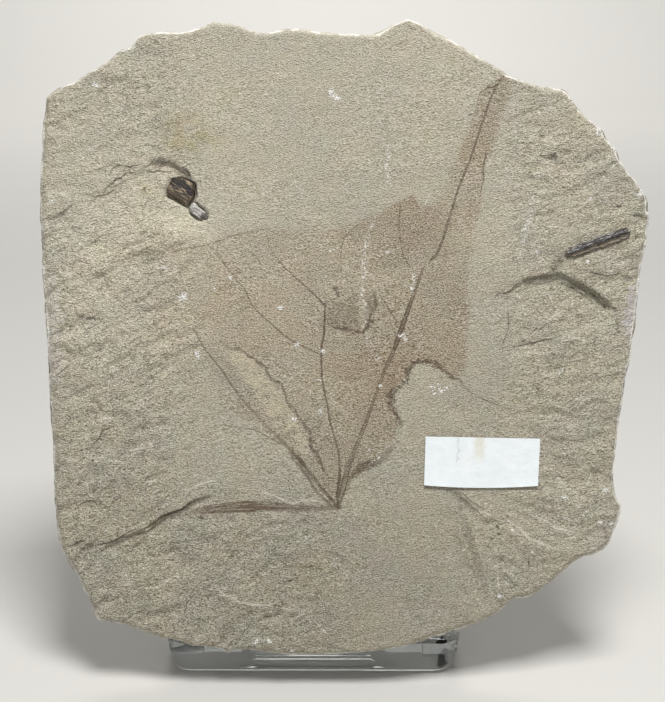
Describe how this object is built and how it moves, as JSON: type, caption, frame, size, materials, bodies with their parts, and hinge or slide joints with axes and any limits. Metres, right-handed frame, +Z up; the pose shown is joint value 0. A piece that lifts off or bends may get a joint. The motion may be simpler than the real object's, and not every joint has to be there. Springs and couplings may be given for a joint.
{
  "type": "fossil sycamore leaf",
  "caption": "Broken slab of grey-buff shale carrying a brown carbon film of a sycamore leaf, with bits of carbonised wood and a paper label, leaning on a clear plastic display stand.",
  "frame": {"origin": "middle of the stand's flat underside", "axes": "+Z up; the fossil's face looks towards -Y, leaning back 17 degrees; +X to the right as seen from the front"},
  "size_m": [0.1927, 0.0692, 0.2025],
  "materials": {
    "shale": "fine matt grain",
    "carbonised_wood": "matt with a fine grain",
    "mineral_wood": "matt, slightly crystalline",
    "carbonised_twig": "dull sheen",
    "label_paper": "smooth uncoated",
    "clear_plastic": "clear and glossy"
  },
  "bodies": {
    "root": {"slab": "shale", "wood_chip": "carbonised_wood", "wood_splinter": "mineral_wood", "twig": "carbonised_twig", "label": "label_paper", "stand": "clear_plastic"}
  },
  "joints": []
}
